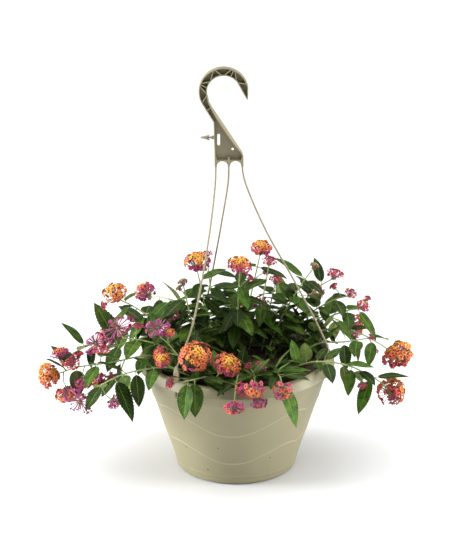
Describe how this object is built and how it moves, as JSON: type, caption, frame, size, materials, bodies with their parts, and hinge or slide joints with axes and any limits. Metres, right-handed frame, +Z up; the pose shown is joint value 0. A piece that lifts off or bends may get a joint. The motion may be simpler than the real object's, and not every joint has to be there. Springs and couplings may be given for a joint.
{
  "type": "hanging basket",
  "caption": "Tapered round hanging pot with a swagged wall and ledge rim, snap-in strand hanger with a hook, growing medium and flowering lantana shoots.",
  "frame": {"origin": "centre of the pot's flat underside, on the floor", "axes": "+Z up through the middle of the pot, +X to the right of the hook's open front, -Y to the front"},
  "size_m": [0.5703, 0.3968, 0.633],
  "materials": {
    "pot_plastic": "satin moulded",
    "hanger_plastic": "satin moulded",
    "growing_medium": "crumbly peat mix",
    "foliage": "veined, matte",
    "petals_orange": "petal",
    "petals_golden": "petal",
    "petals_pink": "petal",
    "petals_magenta": "petal",
    "petals_spider": "petal"
  },
  "bodies": {
    "root": {"pot_shell": "pot_plastic", "growing_medium": "growing_medium", "shoot_left_top": "foliage", "flower_head_left_top": "petals_orange", "shoot_left_spider": "foliage", "flower_head_left_spider": "petals_spider", "shoot_left_near": "foliage", "flower_head_left_near": "petals_spider", "shoot_left_far": "foliage", "flower_head_left_far": "petals_orange", "shoot_left_low": "foliage", "flower_head_left_low": "petals_magenta", "shoot_left_mid": "foliage", "flower_head_left_mid": "petals_spider", "shoot_left_back": "foliage", "shoot_left_drop": "foliage", "shoot_left_upright": "foliage", "shoot_front_left_big": "foliage", "flower_head_front_left_big": "petals_golden", "shoot_front_left_small": "foliage", "shoot_front_left_drape": "foliage", "shoot_front_orange": "foliage", "flower_head_front_orange": "petals_orange", "shoot_front_drape": "foliage", "flower_head_front_drape": "petals_pink", "shoot_front_drop": "foliage", "shoot_front_right_drape": "foliage", "shoot_right_low": "foliage", "flower_head_right_low": "petals_orange", "shoot_right_high": "foliage", "flower_head_right_high": "petals_orange", "shoot_right_spray_low": "foliage", "shoot_right_spray_mid": "foliage", "shoot_right_spray_high": "foliage", "shoot_right_upright": "foliage", "shoot_pink_back": "foliage", "shoot_right_bud": "foliage", "shoot_top_left": "foliage", "flower_head_top_left": "petals_orange", "shoot_top_centre": "foliage", "flower_head_top_centre": "petals_orange", "shoot_top_right": "foliage", "shoot_top_pink": "foliage", "shoot_magenta_mid": "foliage", "shoot_top_back": "foliage", "shoot_back_left": "foliage", "flower_head_back_left": "petals_orange", "shoot_back_right": "foliage", "flower_head_back_right": "petals_magenta", "shoot_back_mid": "foliage", "flower_head_back_mid": "petals_orange", "shoot_back_left_low": "foliage", "flower_head_back_left_low": "petals_golden", "shoot_back_right_low": "foliage", "flower_head_back_right_low": "petals_orange"},
    "hanger": {"strand_right": "hanger_plastic", "strand_left": "hanger_plastic", "strand_back": "hanger_plastic"},
    "hook": {"hook_plate": "hanger_plastic"}
  },
  "joints": [
    {"name": "hanger_lift", "type": "slide", "parent": "root", "child": "hanger", "axis": [0, 0, 1], "range_m": [0, 0.3]},
    {"name": "hook_fold", "type": "hinge", "parent": "hanger", "child": "hook", "pos_m": [-0.011, 0, 0.482], "axis": [1, 0, 0], "range_deg": [-40, 40], "stiffness_Nm_per_rad": 0.12}
  ]
}
